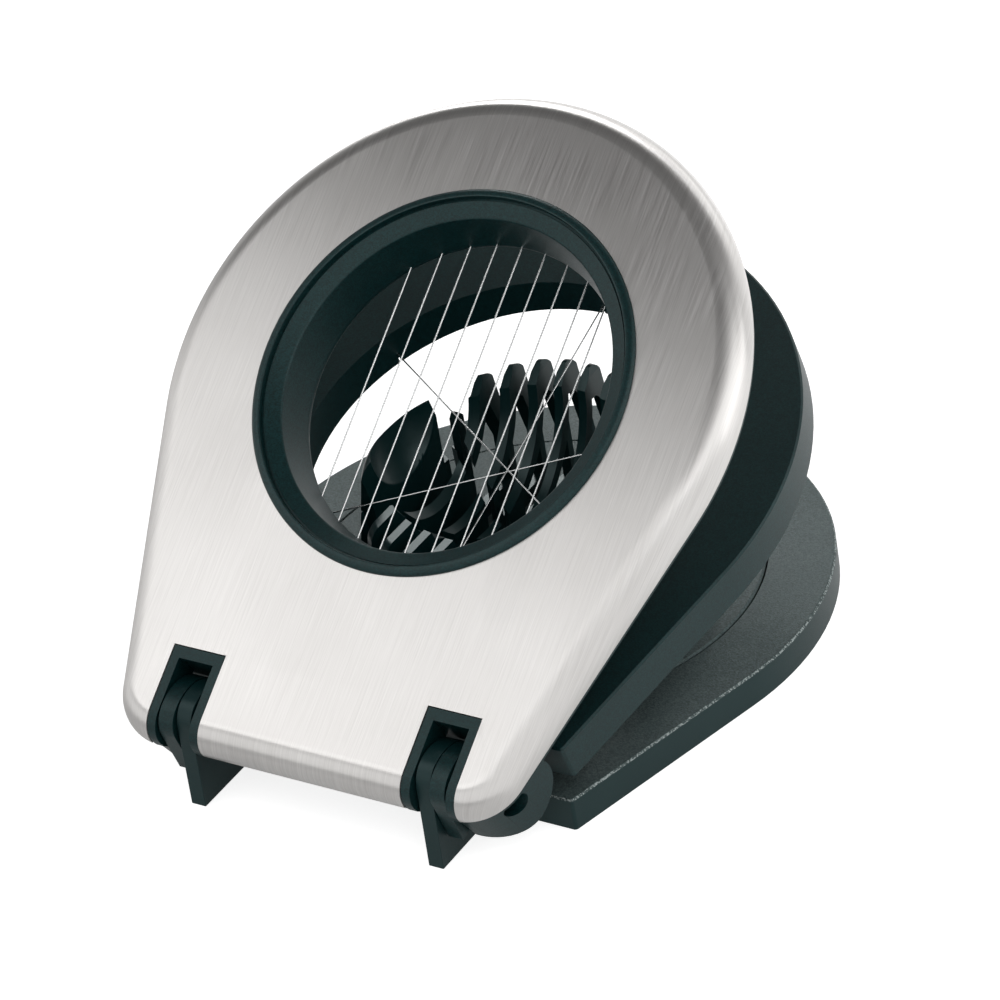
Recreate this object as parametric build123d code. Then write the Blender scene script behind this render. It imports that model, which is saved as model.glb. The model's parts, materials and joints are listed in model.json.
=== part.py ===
from build123d import *
import math
import os

# Egg cutter with three leaves on one hinge line: a base with an egg cradle, a middle frame with three
# crossed wedge wires, and a steel-faced top frame with nine parallel slicing wires.
# Millimetres and degrees. The origin is on the underside, below the centre of the cradle.
# +X is to the right, +Y away from the hinge, +Z up.
# A leaf is modelled closed, in leaf coordinates: the hinge line is X through the origin.

# Hinge line and leaf angles
hinge_to_centre = 74.7
axle_height = 13.9
top_open_angle = 34.5
middle_open_angle = 18.3

# Base plate
base_setback = 0.9
base_corner_x = 46.6
base_front_gap = 12.3
base_thickness = 7.0
base_edge_chamfer = 0.4
base_underside_depth = 2.8
base_wall = 2.4
base_rib = 2.0
base_hub_radius = 6.0
base_rib_ring_radius = 28.0
base_rib_count = 6
sharp_corner_radius = 0.8

# Cradle insert
insert_radius = 47.2
insert_thickness = 2.2
insert_pocket_depth = 2.0
insert_joint_gap = 0.35
cradle_height = 29.5
cradle_foot_radius = 32.2
cradle_foot_height = 14.0
cradle_rim_radius = 29.6
cradle_rim_round = 2.6
egg_half_length = 30.0
egg_half_width = 22.8
fin_thickness = 1.9
fin_count_each_side = 4
fin_crown_height = 33.0
fin_crown_radius = 70.0
fin_lead_in = 3.5
front_finger_height = 20.8
fin_top_land = 0.9
fin_bevel_height = 1.6
fin_inner_wall = 2.2
fin_outer_wall = 1.7
fin_web_half_width = 11.5
fin_window_sill = 3.0
fin_window_head = 6.5
fin_window_bevel = 1.4
end_block_face_x = 25.3
end_block_length = 7.5
end_block_drop = 1.0
end_ledge_height = 13.2
side_finger_height = 20.2
side_finger_front_y = -16.3
side_finger_rear_y = 11.4
side_blade_height = 21.8
side_blade_front_y = 16.4
side_blade_rear_y = 18.8
side_blade_tip = 1.2
wedge_slot_width = 2.6
wedge_slot_floor = 0.6

# Wires
wire_radius = 0.16
wire_groove = 0.5
wire_bead_radius = 0.7
wire_bead_length = 1.8
wire_bead_clearance = 0.06
slice_wire_count = 9
slice_wire_pitch = 5.57
slice_wire_level = -0.95
slice_wire_anchor_radius = 35.6
wedge_wire_angles = (30.0, 90.0, 150.0)
wedge_wire_level = -5.2
wedge_wire_step = 0.5
wedge_wire_anchor_radius = 46.6

# Middle frame
middle_setback = 0.3
middle_corner_x = 47.1
middle_front_gap = 12.4
middle_top_level = 2.0
middle_thickness = 8.4
middle_hole_radius = 42.7
middle_skin = 2.4
middle_wall = 2.4
middle_edge_chamfer = 0.4
middle_boss_width = 7.6
middle_rib = 2.0
clamp_ring_inset = 1.3
clamp_ring_width = 5.0
clamp_ring_thickness = 1.2
clamp_ring_gap = 0.1

# Steel cover
cover_radius = 61.9
cover_corner_x = 33.7
cover_corner_y = 4.9
cover_corner_radius = 11.5
cover_face_level = 9.1
cover_roll_radius = 5.4
cover_skirt_level = 3.6
cover_sheet = 0.8
cover_hole_radius = 39.6

# Top carrier
carrier_bottom_level = 2.5
carrier_ledge_inset = 0.3
carrier_plate_inset = 1.0
carrier_plate_thickness = 2.1
carrier_cover_gap = 0.1
carrier_rib = 2.0
carrier_rib_inset = 6.6
collar_radius = 41.5
collar_bottom_level = -2.9
collar_seat_radius = 39.7
collar_seat_level = 6.0
collar_bore_radius = 37.3
collar_mouth_round = 1.5
knuckle_radius = 9.2
knuckle_inset = 0.9
knuckle_upper_radius = 7.2
knuckle_upper_inset = 3.2
knuckle_upper_level = 7.0
inner_boss_radius = 5.2
inner_boss_step = 0.2
inner_boss_end_x = 16.5
boss_join_angle = 25.0

# Hinge notches, arms and pins
notch_inner_x = 22.9
notch_outer_x = 34.9
notch_back_y = 12.2
notch_gap = 0.15
notch_frame_drop = 0.2
window_inner_x = 25.0
window_outer_x = 32.9
window_back_y = 9.7
window_wall_level = 0.0
window_wall_gap = 0.4
arm_thickness = 3.3
base_arm_x = 25.5
middle_arm_x = 29.1
arm_front_y = 6.4
arm_foot_y = 7.0
arm_radius = 9.2
arm_shoulder_round = 5.0
arm_root_overlap = 3.0
pin_radius = 2.45
pin_press_gap = 0.03
pin_running_gap = 0.08
pin_inner_x = 18.0
pin_outer_x = 38.5

# Bezel ring
bezel_lip_radius = 40.3
bezel_lip_height = 1.0
bezel_lip_gap = 0.05
bezel_flank_width = 1.6
bezel_bead_width = 1.9
bezel_groove_depth = 0.35
bezel_groove_width = 0.45
bezel_band_step = 0.1
bezel_band_inner_radius = 34.8
bezel_band_drop = 1.6
bezel_mouth_radius = 33.2
bezel_side_gap = 0.2
bezel_shelf_thickness = 0.2

# Screws
screw_shank_radius = 0.95
screw_hole_gap = 0.05
screw_head_radius = 1.7
screw_head_height = 1.3
screw_head_gap = 0.15
screw_slot_width = 0.5
screw_slot_depth = 0.45
screw_tip_room = 0.5
bezel_screw_length = 4.4
bezel_screw_radius = 35.6
bezel_screw_angles = (32.0, 148.0, 212.0, 328.0)
clamp_screw_angles = (0.0, 60.0, 120.0, 180.0, 240.0, 300.0)
clamp_screw_length = 4.2
clamp_head_radius = 1.8
clamp_head_height = 0.8
cradle_screw_length = 3.4
cradle_screw_radius = 39.0
cradle_screw_angles = (45.0, 135.0, 225.0, 315.0)
cradle_boss_radius = 2.4
cradle_boss_gap = 0.15
cradle_washer_radius = 3.4
cradle_washer_thickness = 0.6

# Values worked out from the driving dimensions
fuse = 0.2
reach = 200.0
base_radius = cover_radius - base_setback
middle_radius = cover_radius - middle_setback
insert_top = base_thickness - insert_pocket_depth + insert_thickness
insert_floor = base_thickness - insert_pocket_depth
egg_centre_height = insert_top + cradle_height
middle_bottom_level = middle_top_level - middle_thickness
bezel_bottom_level = slice_wire_level + bezel_lip_gap
clamp_seat_level = middle_bottom_level + clamp_ring_thickness
wedge_wire_levels = [wedge_wire_level + index * wedge_wire_step for index in range(len(wedge_wire_angles))]
clamp_inner_radius = middle_hole_radius + clamp_ring_inset
clamp_outer_radius = clamp_inner_radius + clamp_ring_width
clamp_screw_circle = (clamp_inner_radius + clamp_outer_radius) / 2
cover_front_y = cover_corner_y - cover_corner_radius
carrier_rib_top = cover_face_level - cover_sheet - carrier_cover_gap


def place(piece, angle):
    """Takes a piece from leaf coordinates to its open position."""
    return Pos(0, -hinge_to_centre, axle_height) * Rot(angle, 0, 0) * piece


def drop_face(radius, corner_x, corner_y, corner_radius, centre_y, level):
    """Plan outline: a big circle, straight tangent flanks, and two round front corners."""
    dx, dy = -corner_x, centre_y - corner_y
    distance = math.hypot(dx, dy)
    lean = math.acos((corner_radius - radius) / distance)
    normal = math.atan2(dy, dx) - lean
    mid = (normal - math.pi / 2) / 2

    def on_corner(angle):
        return corner_x + corner_radius * math.cos(angle), corner_y + corner_radius * math.sin(angle)

    front = (corner_x, corner_y - corner_radius)
    turn = on_corner(mid)
    leave = on_corner(normal)
    join = (radius * math.cos(normal), centre_y + radius * math.sin(normal))

    def flip(point):
        return -point[0], point[1]

    edges = [
        Line(flip(front), front),
        ThreePointArc(front, turn, leave),
        Line(leave, join),
        ThreePointArc(join, (0, centre_y + radius), flip(join)),
        Line(flip(join), flip(leave)),
        ThreePointArc(flip(leave), flip(turn), flip(front)),
    ]
    return Pos(0, 0, level) * make_face(Curve() + edges)


def base_face(inset, level):
    """Outline of the base in its own frame."""
    corner = sharp_corner_radius
    corner_y = base_front_gap - hinge_to_centre + corner
    face = drop_face(base_radius, base_corner_x - corner, corner_y, corner, 0, level)
    return offset(face, amount=-inset, kind=Kind.INTERSECTION) if inset else face


def middle_face(inset, level):
    """Outline of the middle frame in leaf coordinates."""
    corner = sharp_corner_radius
    corner_y = middle_front_gap + corner
    face = drop_face(middle_radius, middle_corner_x - corner, corner_y, corner, hinge_to_centre, level)
    return offset(face, amount=-inset, kind=Kind.INTERSECTION) if inset else face


def cover_face(inset, level):
    """Outline of the steel cover, moved in by an inset, in leaf coordinates."""
    return drop_face(cover_radius - inset, cover_corner_x, cover_corner_y, cover_corner_radius - inset,
                     hinge_to_centre, level)


def drum(radius, low, high, y=0.0):
    """Upright cylinder between two levels."""
    return Pos(0, y, low) * Cylinder(radius, high - low, align=(Align.CENTER, Align.CENTER, Align.MIN))


def block(x0, x1, y0, y1, z0, z1):
    """Box between named corners."""
    return Pos((x0 + x1) / 2, (y0 + y1) / 2, (z0 + z1) / 2) * Box(x1 - x0, y1 - y0, z1 - z0)


def axle_bar(radius, x0, x1):
    """Cylinder along the hinge line of a leaf."""
    return Pos((x0 + x1) / 2, 0, 0) * Rot(0, 90, 0) * Cylinder(radius, x1 - x0)


def both_sides(piece):
    """The piece and its mirror image across the YZ plane."""
    return piece + mirror(piece, about=Plane.YZ)


def ring_of(angles, radius, piece, y=0.0):
    """Copies of an upright piece at angles on a circle round (0, y)."""
    copies = []
    for angle in angles:
        turn = math.radians(angle)
        copies.append(Pos(radius * math.cos(turn), y + radius * math.sin(turn), 0) * piece)
    return copies


def cut_all(piece, tools):
    """Piece less every tool in a list."""
    return piece - list(tools)


def screw(low, head_height, length):
    """Cross-slotted screw pointing up, its head starting at a level."""
    top = low + head_height
    body = drum(screw_head_radius, low, top) + drum(screw_shank_radius, top - fuse, top + length)
    return body - drive_cross(low)


def flat_screw(low, length):
    """Countersunk screw pointing up, its flat head starting at a level."""
    top = low + clamp_head_height
    body = countersink(low, 0) + drum(screw_shank_radius, top - fuse, top + length)
    return body - drive_cross(low)


def countersink(low, gap):
    """Cone of a countersunk head, or of its seat with a gap."""
    wide, narrow = clamp_head_radius + gap, screw_shank_radius + gap
    return Pos(0, 0, low) * Cone(wide, narrow, clamp_head_height, align=(Align.CENTER, Align.CENTER, Align.MIN))


def drive_cross(low):
    """Cross slot in the underside of a screw head."""
    half = screw_head_radius - screw_slot_width
    slot = block(-half, half, -screw_slot_width / 2, screw_slot_width / 2, low - fuse, low + screw_slot_depth)
    return slot + Rot(0, 0, 90) * slot


# Base plate with its hinge arms

def hinge_arm(bottom, root_y, root_top, foot_y):
    """Hook-shaped plate round the pin, in leaf coordinates, starting at x = 0."""
    shoulder = math.sqrt(arm_radius ** 2 - arm_front_y ** 2)
    outline = Curve() + [
        Line((-foot_y, bottom), (-arm_front_y, shoulder)),
        ThreePointArc((-arm_front_y, shoulder), (0, arm_radius), (arm_radius, 0)),
        Line((arm_radius, 0), (arm_radius, root_top)),
        Line((arm_radius, root_top), (root_y, root_top)),
        Line((root_y, root_top), (root_y, bottom)),
        Line((root_y, bottom), (-foot_y, bottom)),
    ]
    plate = extrude(Plane.YZ * make_face(outline), amount=arm_thickness)
    shoulder_edge = min(plate.edges().filter_by(Axis.X), key=lambda edge: edge.center().Y - edge.center().Z)
    plate = fillet(shoulder_edge, arm_shoulder_round)
    return plate - axle_bar(pin_radius + pin_running_gap, -fuse, arm_thickness + fuse)


def base_arm():
    """Arm of the base, its foot reaching the table in front of the plate."""
    root = base_front_gap + arm_root_overlap
    arm = hinge_arm(-axle_height, root, base_thickness - axle_height - base_edge_chamfer, arm_foot_y)
    return Pos(base_arm_x, 0, 0) * arm


def make_base_plate():
    """Flat base plate, open below, with a round pocket for the cradle insert."""
    plate = extrude(base_face(0, 0), amount=base_thickness)
    top_edges = plate.faces().sort_by(Axis.Z)[-1].outer_wire().edges()
    plate = chamfer(top_edges, base_edge_chamfer)
    hollow = extrude(base_face(base_wall, 0), amount=base_underside_depth)
    rib_ring = drum(base_rib_ring_radius + base_rib, 0, base_underside_depth)
    rib_ring -= drum(base_rib_ring_radius, 0, base_underside_depth)
    hollow -= rib_ring
    hollow -= drum(base_hub_radius, 0, base_underside_depth)
    for index in range(base_rib_count):
        spoke = block(0, reach, -base_rib / 2, base_rib / 2, 0, base_underside_depth)
        hollow -= Rot(0, 0, index * 360 / base_rib_count) * spoke
    plate -= hollow
    plate -= drum(insert_radius + insert_joint_gap, insert_floor, base_thickness + fuse)
    passage = drum(cradle_boss_radius + cradle_boss_gap, -fuse, base_thickness)
    plate = cut_all(plate, ring_of(cradle_screw_angles, cradle_screw_radius, passage))
    return plate + Pos(0, -hinge_to_centre, axle_height) * both_sides(base_arm())


# Egg cradle

def egg_solid(grow):
    """Egg-shaped solid lying along X, moved outward by a wall."""
    length = egg_half_length + grow
    width = egg_half_width + grow
    half = Curve() + [EllipticalCenterArc((0, 0), length, width, 0, arc_size=180), Line((-length, 0), (length, 0))]
    return Pos(0, 0, egg_centre_height) * revolve(make_face(half), axis=Axis.X)


def cradle_envelope(top):
    """Outer body of the cradle up to one level: a short drum, a slow taper and a rounded rim."""
    foot = insert_top + cradle_foot_height
    taper = (cradle_foot_radius - cradle_rim_radius) / (egg_centre_height - foot)
    rim_radius = cradle_foot_radius - taper * (top - foot)
    profile = Polyline((0, insert_top - fuse), (cradle_foot_radius, insert_top - fuse), (cradle_foot_radius, foot),
                       (rim_radius, top), (0, top), close=True)
    body = revolve(Plane.XZ * make_face(profile), axis=Axis.Z)
    rim = body.edges().filter_by(GeomType.CIRCLE).sort_by(Axis.Z)[-1]
    return fillet(rim, cradle_rim_round)


def wire_arc_face(x, side):
    """YZ outline of the sweep of a wedge wire past one plane of constant X."""
    run = hinge_to_centre + side * x * math.tan(math.radians(wedge_wire_angles[0]))
    mean = math.hypot(run, wedge_wire_level)
    half = wedge_slot_width / math.cos(math.radians(wedge_wire_angles[0])) / 2
    low = math.asin((insert_top + wedge_slot_floor - axle_height) / mean)
    high = math.asin((insert_top + fin_crown_height + fin_bevel_height - axle_height) / mean)

    def at(radius, angle):
        return -hinge_to_centre + radius * math.cos(angle), axle_height + radius * math.sin(angle)

    middle = (low + high) / 2
    outer, inner = mean + half, mean - half
    outline = Curve() + [
        ThreePointArc(at(outer, low), at(outer, middle), at(outer, high)),
        Line(at(outer, high), at(inner, high)),
        ThreePointArc(at(inner, high), at(inner, middle), at(inner, low)),
        Line(at(inner, low), at(outer, low)),
    ]
    return Plane.YZ.offset(x) * make_face(outline)


def wedge_slots():
    """The four arms of the two slanted wedge slots, following the wires' arcs."""
    slots = []
    for side in (-1, 1):
        near = wire_arc_face(0, side)
        far = wire_arc_face(cradle_foot_radius + wedge_slot_width, side)
        arm = loft([near, far], ruled=True)
        slots += [arm, mirror(arm, about=Plane.YZ)]
    return slots


def fin_places():
    """Middle planes of the fins, halfway between neighbouring slicing wires."""
    return [(index + 0.5) * slice_wire_pitch for index in range(-fin_count_each_side, fin_count_each_side)]


def fin_plate(x, top, top_land):
    """One upright plate across the cradle, its top edge bevelled on both sides down to a narrow land."""
    half = fin_thickness / 2
    land = top_land / 2
    outline = Polyline((x - half, insert_top - fuse), (x - half, top - fin_bevel_height), (x - land, top),
                       (x + land, top), (x + half, top - fin_bevel_height), (x + half, insert_top - fuse), close=True)
    face = Plane.XZ.offset(-cradle_foot_radius) * make_face(outline)
    return extrude(face, amount=2 * cradle_foot_radius)


def fin_window(top):
    """Space between the egg-shaped inner wall and the outer wall of a fin with this top."""
    head = top - fin_window_head
    foot = insert_top + cradle_foot_height
    low = insert_top + fin_window_sill
    lower_radius = cradle_foot_radius - fin_outer_wall
    upper_radius = cradle_rim_radius - fin_outer_wall
    profile = Polyline((0, low), (lower_radius, low), (lower_radius, foot), (upper_radius, head - fin_window_bevel),
                       (upper_radius - fin_window_bevel, head), (0, head), close=True)
    space = revolve(Plane.XZ * make_face(profile), axis=Axis.Z)
    web = block(-reach, reach, -fin_web_half_width, fin_web_half_width, 0, reach)
    return space - egg_solid(fin_inner_wall) - web


def lead_in(x, crown):
    """Wedge cut off the egg side of one tall fin, so that the egg slides down into the cradle."""
    inner = egg_half_width * math.sqrt(1 - (x / egg_half_length) ** 2)
    outline = Polyline((0, crown - fin_lead_in), (inner, crown - fin_lead_in), (inner + fin_lead_in, crown),
                       (inner + fin_lead_in, reach), (0, reach), close=True)
    return extrude(Plane.YZ.offset(x - fin_thickness) * make_face(outline), amount=2 * fin_thickness)


def make_fin(x):
    """One fin: tall behind the egg on an arched crown, and short in front of it."""
    crown = insert_top + fin_crown_height - fin_crown_radius + math.sqrt(fin_crown_radius ** 2 - x ** 2)
    front = insert_top + front_finger_height
    tall = (fin_plate(x, crown, fin_top_land) & cradle_envelope(crown)) - fin_window(crown) - lead_in(x, crown)
    short = (fin_plate(x, front, fin_thickness) & cradle_envelope(front)) - fin_window(front)
    return (tall & block(-reach, reach, 0, reach, 0, reach)) + (short & block(-reach, reach, -reach, fuse, 0, reach))


def side_blade():
    """Thin pointed blade at the fifth fin place on the right."""
    top = insert_top + side_blade_height
    shoulder = top - side_blade_tip
    outline = Polyline((side_blade_front_y, insert_top - fuse), (side_blade_front_y, shoulder),
                       (side_blade_front_y + side_blade_tip, top), (side_blade_rear_y, shoulder),
                       (side_blade_rear_y, insert_top - fuse), close=True)
    middle = (fin_count_each_side + 0.5) * slice_wire_pitch
    return extrude(Plane.YZ.offset(middle - fin_thickness / 2) * make_face(outline), amount=fin_thickness)


def end_block():
    """End of the cradle on the right: a tall middle, a low ledge behind it, a finger in front and a thin blade."""
    near, far = end_block_face_x, end_block_face_x + end_block_length
    half = cradle_foot_radius
    top = egg_centre_height - end_block_drop
    finger_top = insert_top + side_finger_height
    end = block(near, far, -half, half, insert_top - fuse, top)
    end -= block(near, far, -half, side_finger_front_y, finger_top, reach)
    end -= block(near, far, side_finger_rear_y, half, insert_top + end_ledge_height, reach)
    return (end & cradle_envelope(top)) + side_blade()


def make_egg_cradle():
    """Round insert with eight fins and two end blocks that together hold an egg."""
    bowl = (Part() + [make_fin(x) for x in fin_places()]) + both_sides(end_block())
    bowl = cut_all(bowl - egg_solid(0), wedge_slots())
    insert = drum(insert_radius, insert_floor, insert_top)
    rim = insert.edges().sort_by(Axis.Z)[-1]
    insert = chamfer(rim, base_edge_chamfer)
    boss_low = base_underside_depth + cradle_boss_gap
    boss = drum(cradle_boss_radius, boss_low, insert_floor + fuse)
    for lug in ring_of(cradle_screw_angles, cradle_screw_radius, boss):
        insert += lug
    pilot_top = base_underside_depth + cradle_screw_length + screw_hole_gap
    pilot = drum(screw_shank_radius + screw_hole_gap, boss_low - fuse, pilot_top)
    insert = cut_all(insert, ring_of(cradle_screw_angles, cradle_screw_radius, pilot))
    return insert + bowl


def make_cradle_screws():
    """Washer-head screws that hold the cradle insert from below."""
    washer_low = base_underside_depth - cradle_washer_thickness
    low = washer_low - screw_head_height
    item = screw(low, screw_head_height, cradle_screw_length + cradle_washer_thickness)
    item += drum(cradle_washer_radius, washer_low, base_underside_depth)
    return Compound(children=ring_of(cradle_screw_angles, cradle_screw_radius, item))


# Middle frame and its wedge wires

def middle_arm():
    """Arm of the middle frame, beside the arm of the base."""
    root = middle_front_gap + arm_root_overlap
    arm = hinge_arm(middle_bottom_level, root, window_wall_level - window_wall_gap, arm_front_y)
    return Pos(middle_arm_x, 0, 0) * arm


def wire_with_beads(x, half, angle, level):
    """One tensioned wire with a small anchor bead at each end, centred over the cradle."""
    wire = Rot(0, 90, 0) * Cylinder(wire_radius, 2 * half)
    bead = Rot(0, 90, 0) * Cylinder(wire_bead_radius, wire_bead_length)
    whole = wire + Pos(half, 0, 0) * bead + Pos(-half, 0, 0) * bead
    return Pos(x, hinge_to_centre, level) * Rot(0, 0, angle) * whole


def wire_groove_tool(x, half, angle, level):
    """Groove for a wire and pockets for its beads."""
    grown = wire_bead_radius + wire_bead_clearance
    groove = Box(2 * half, wire_groove, wire_groove)
    pocket = Rot(0, 90, 0) * Cylinder(grown, wire_bead_length + 2 * wire_bead_clearance)
    whole = groove + Pos(half, 0, 0) * pocket + Pos(-half, 0, 0) * pocket
    return Pos(x, hinge_to_centre, level) * Rot(0, 0, angle) * whole


def wedge_grooves(floor):
    """Slots of the three stacked wedge wires and their beads, open downward to a floor level."""
    tools = []
    half_bead = wire_bead_length / 2 + wire_bead_clearance
    bead_room = wire_bead_radius + wire_bead_clearance
    anchor = wedge_wire_anchor_radius
    for angle, level in zip(wedge_wire_angles, wedge_wire_levels):
        wire_low = min(floor, level - wire_groove / 2)
        bead_low = min(floor, level - bead_room)
        tool = block(-anchor, anchor, -wire_groove / 2, wire_groove / 2, wire_low, level + wire_groove / 2)
        for end in (-anchor, anchor):
            tool += block(end - half_bead, end + half_bead, -bead_room, bead_room, bead_low, level + bead_room)
        tools.append(Pos(0, hinge_to_centre, 0) * Rot(0, 0, angle) * tool)
    return tools


def wedge_entries():
    """Slots that let the wedge wires pass the inner lip of the boss from below."""
    half = clamp_inner_radius
    tools = []
    for angle, level in zip(wedge_wire_angles, wedge_wire_levels):
        tool = block(-half, half, -wire_groove / 2, wire_groove / 2, middle_bottom_level - fuse, level)
        tools.append(Pos(0, hinge_to_centre, 0) * Rot(0, 0, angle) * tool)
    return tools


def make_wedge_wire(angle, level):
    """One of the three crossed wires."""
    return wire_with_beads(0, wedge_wire_anchor_radius, angle, level)


def make_middle_frame():
    """Flat middle frame, open below, with a boss round its hole and two hinge arms."""
    low, top = middle_bottom_level, middle_top_level
    centre = hinge_to_centre
    frame = extrude(middle_face(0, low), amount=middle_thickness)
    frame = chamfer(frame.faces().sort_by(Axis.Z)[-1].outer_wire().edges(), middle_edge_chamfer)
    hollow = extrude(middle_face(middle_wall, low), amount=middle_thickness - middle_skin)
    boss_radius = middle_hole_radius + middle_boss_width
    hollow -= drum(boss_radius, low, top, centre)
    for angle in clamp_screw_angles:
        spoke = block(boss_radius - fuse, reach, -middle_rib / 2, middle_rib / 2, low, top)
        hollow -= Pos(0, centre, 0) * Rot(0, 0, angle) * spoke
    arm_rib_x = middle_arm_x + arm_thickness / 2
    for x in (-arm_rib_x, 0, arm_rib_x):
        hollow -= block(x - middle_rib / 2, x + middle_rib / 2, 0, centre - middle_hole_radius, low, top)
    frame -= hollow
    frame -= drum(middle_hole_radius, low - fuse, top + fuse, centre)
    seat = drum(clamp_outer_radius + clamp_ring_gap, low - fuse, clamp_seat_level, centre)
    seat -= drum(clamp_inner_radius - clamp_ring_gap, low - fuse, clamp_seat_level, centre)
    frame -= seat
    frame = cut_all(frame, wedge_grooves(clamp_seat_level))
    frame = cut_all(frame, wedge_entries())
    pilot_top = low + clamp_head_height + clamp_screw_length + screw_tip_room
    pilot = drum(screw_shank_radius + screw_hole_gap, low, pilot_top)
    frame = cut_all(frame, ring_of(clamp_screw_angles, clamp_screw_circle, pilot, centre))
    return frame + both_sides(middle_arm())


def make_wedge_clamp_ring():
    """Ring screwed under the middle frame over the ends of the wedge wires."""
    low = middle_bottom_level
    top = clamp_seat_level - clamp_ring_gap / 2
    centre = hinge_to_centre
    ring = drum(clamp_outer_radius, low, top, centre) - drum(clamp_inner_radius, low - fuse, top + fuse, centre)
    ring = cut_all(ring, wedge_grooves(clamp_seat_level))
    hole = drum(screw_shank_radius + screw_hole_gap, low, top + fuse) + countersink(low, screw_hole_gap)
    return cut_all(ring, ring_of(clamp_screw_angles, clamp_screw_circle, hole, centre))


def make_clamp_screws():
    """Countersunk screws of the wedge wire clamp ring, flush with its underside."""
    item = flat_screw(middle_bottom_level, clamp_screw_length)
    return Compound(children=ring_of(clamp_screw_angles, clamp_screw_circle, item, hinge_to_centre))


# Top leaf: steel cover, carrier, bezel and slicing wires

def rolled_shell(inset, roll):
    """Solid inside the cover's outline with a rounded top edge."""
    low = cover_skirt_level
    solid = extrude(cover_face(inset, low), amount=cover_face_level - inset - low)
    return fillet(solid.faces().sort_by(Axis.Z)[-1].outer_wire().edges(), roll)


def make_steel_cover():
    """Pressed sheet cover with a rolled edge, a round hole and two hinge notches."""
    cover = rolled_shell(0, cover_roll_radius) - rolled_shell(cover_sheet, cover_roll_radius - cover_sheet)
    cover -= drum(cover_hole_radius, 0, reach, hinge_to_centre)
    notch = block(notch_inner_x, notch_outer_x, -reach, notch_back_y, 0, reach)
    return cover - both_sides(notch)


def slice_wire_places():
    """X places and half lengths of the slicing wires."""
    places = []
    for index in range(slice_wire_count):
        x = (index - (slice_wire_count - 1) / 2) * slice_wire_pitch
        places.append((x, math.sqrt(slice_wire_anchor_radius ** 2 - x ** 2)))
    return places


def slice_grooves():
    """Groove tools of the slicing wires."""
    return [wire_groove_tool(x, half, 90, slice_wire_level) for x, half in slice_wire_places()]


def notch_frame():
    """Black frame that lines one hinge notch and follows the rolled front edge."""
    roll = cover_roll_radius - notch_frame_drop
    mid_y = cover_front_y + cover_roll_radius
    mid_z = cover_face_level - cover_roll_radius
    face = cover_face_level - notch_frame_drop
    back = notch_back_y - notch_gap
    slant = roll * math.sin(math.pi / 4)
    boss = inner_boss_radius
    low = carrier_bottom_level
    join = math.radians(boss_join_angle)
    boss_join = (-boss * math.cos(join), -boss * math.sin(join))
    outline = Curve() + [
        Line((back, window_wall_level), (back, face)),
        Line((back, face), (mid_y, face)),
        ThreePointArc((mid_y, face), (mid_y - slant, mid_z + slant), (mid_y - roll, mid_z)),
        Line((mid_y - roll, mid_z), (mid_y - roll, low)),
        Line((mid_y - roll, low), boss_join),
        ThreePointArc(boss_join, (0, -boss), (boss, 0)),
        Line((boss, 0), (boss, low)),
        Line((boss, low), (window_back_y, low)),
        Line((window_back_y, low), (window_back_y, window_wall_level)),
        Line((window_back_y, window_wall_level), (back, window_wall_level)),
    ]
    face_yz = Plane.YZ.offset(notch_inner_x + notch_gap) * make_face(outline)
    return extrude(face_yz, amount=notch_outer_x - notch_inner_x - 2 * notch_gap)


def knuckle():
    """Round outer knuckle that carries one end of the pin."""
    start = window_outer_x
    ledge = cover_skirt_level - carrier_cover_gap
    lower_zone = extrude(cover_face(knuckle_inset, -reach), amount=reach + ledge)
    lower = axle_bar(knuckle_radius, start, cover_radius) & lower_zone
    upper_zone = extrude(cover_face(knuckle_upper_inset, 0), amount=knuckle_upper_level)
    upper = axle_bar(knuckle_upper_radius, start, cover_radius) & upper_zone
    return lower + upper


def inner_boss():
    """Pin boss beside the notch frame, hanging under the plate."""
    radius = inner_boss_radius - inner_boss_step
    end = notch_inner_x + notch_gap + fuse
    half = radius - inner_boss_step
    neck = block(inner_boss_end_x, end, -half, half, 0, carrier_bottom_level + fuse)
    return axle_bar(radius, inner_boss_end_x, end) + neck


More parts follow.
